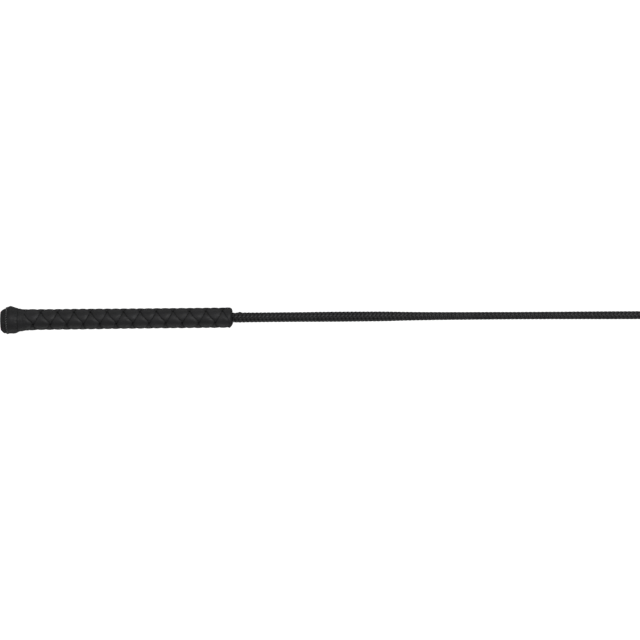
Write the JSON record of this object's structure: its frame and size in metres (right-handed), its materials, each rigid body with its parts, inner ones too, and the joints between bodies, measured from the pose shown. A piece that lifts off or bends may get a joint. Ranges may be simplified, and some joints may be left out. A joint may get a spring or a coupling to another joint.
{
  "type": "riding crop",
  "caption": "Riding crop with a mushroom-capped, plaited leather handle, a tapering braided shaft and a folded leather keeper on a sprung bend.",
  "frame": {"origin": "centre of the flat end of the butt", "axes": "+X runs along the crop from butt to keeper, +Z is square to the keeper's flat, +Y completes a right-handed frame and is the side the shaft bows to"},
  "size_m": [0.7, 0.0258, 0.0256],
  "materials": {
    "leather": "satin black",
    "plait": "satin black, plaited",
    "thread": "waxed black thread",
    "fibreglass": "glass fibre and resin, hidden",
    "wood": "turned, unfinished, hidden",
    "felt": "soft padding, hidden",
    "steel": "plain, hidden"
  },
  "bodies": {
    "crop": {"core_rod": "fibreglass", "cap_core": "wood", "cap_tack": "steel", "cap_end_disc": "leather", "cap_stitching": "thread", "cap_cover": "leather", "neck_band": "leather", "handle_former": "wood", "grip_padding": "felt", "grip_thong_a1": "leather", "grip_thong_a2": "leather", "grip_thong_b1": "leather", "grip_thong_b2": "leather", "front_collar": "leather", "shaft_belly": "felt", "shaft_braid": "plait", "braid_knot": "plait", "tip_binding": "thread", "keeper_root_upper": "leather", "keeper_root_lower": "leather"},
    "keeper": {"keeper_tongue": "leather", "keeper_seam_top": "thread", "keeper_seam_bottom": "thread"}
  },
  "joints": [
    {"name": "keeper_flex", "type": "hinge", "parent": "crop", "child": "keeper", "pos_m": [0.6408, -0.00016, 0], "axis": [0, 1, 0], "range_deg": [-35, 35], "stiffness_Nm_per_rad": 0.08}
  ]
}
